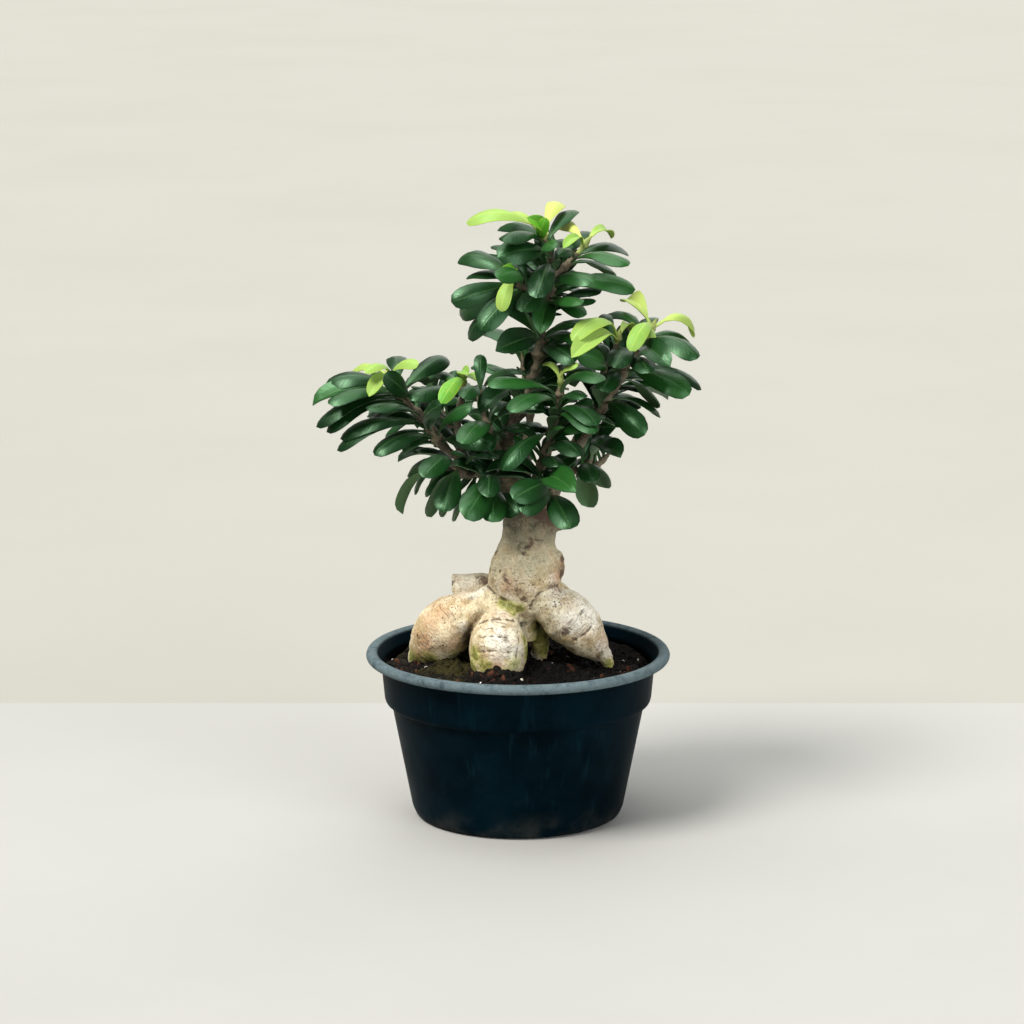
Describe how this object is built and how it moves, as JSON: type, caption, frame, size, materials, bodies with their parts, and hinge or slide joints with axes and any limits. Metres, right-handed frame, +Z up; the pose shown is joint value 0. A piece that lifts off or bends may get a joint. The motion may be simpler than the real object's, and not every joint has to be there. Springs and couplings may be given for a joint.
{
  "type": "potted ficus ginseng bonsai",
  "caption": "Small fig tree with swollen bare roots and a broad leafy crown, standing in soil in a round tapered plastic nursery pot.",
  "frame": {"origin": "centre of the pot's base, on the surface that the pot stands on", "axes": "+Z up, -Y towards the viewer of the picture, +X to the viewer's right"},
  "size_m": [0.2245, 0.18, 0.3612],
  "materials": {
    "pot_plastic": "satin dark teal",
    "soil": "crumbly dark potting soil",
    "bark": "pale beige bark with brown specks",
    "leaf": "deep green glossy leaf",
    "young_leaf": "yellow-green young leaf"
  },
  "bodies": {
    "root": {"pot": "pot_plastic", "soil": "soil", "trunk": "bark", "left_stem": "leaf", "left_inner_stem": "leaf", "fork_stem": "leaf", "leader_low_stem": "leaf", "leader_top_stem": "leaf", "leader_left_stem": "leaf", "leader_right_stem": "leaf", "leader_back_stem": "leaf", "right_stem": "leaf", "right_inner_stem": "leaf", "centre_stem": "leaf", "right_low_stem": "leaf", "front_low_right_stem": "leaf", "front_low_left_stem": "leaf", "left_low_stem": "leaf", "back_left_stem": "leaf", "back_left_low_stem": "leaf", "back_middle_stem": "leaf", "back_middle_low_stem": "leaf", "back_right_stem": "leaf", "back_right_low_stem": "leaf", "top_shoot": "young_leaf", "top_right_shoot": "young_leaf", "leader_left_shoot": "young_leaf", "right_shoot": "young_leaf", "right_inner_shoot": "young_leaf", "centre_shoot": "young_leaf", "left_shoot": "young_leaf", "left_inner_shoot": "young_leaf"}
  },
  "joints": []
}
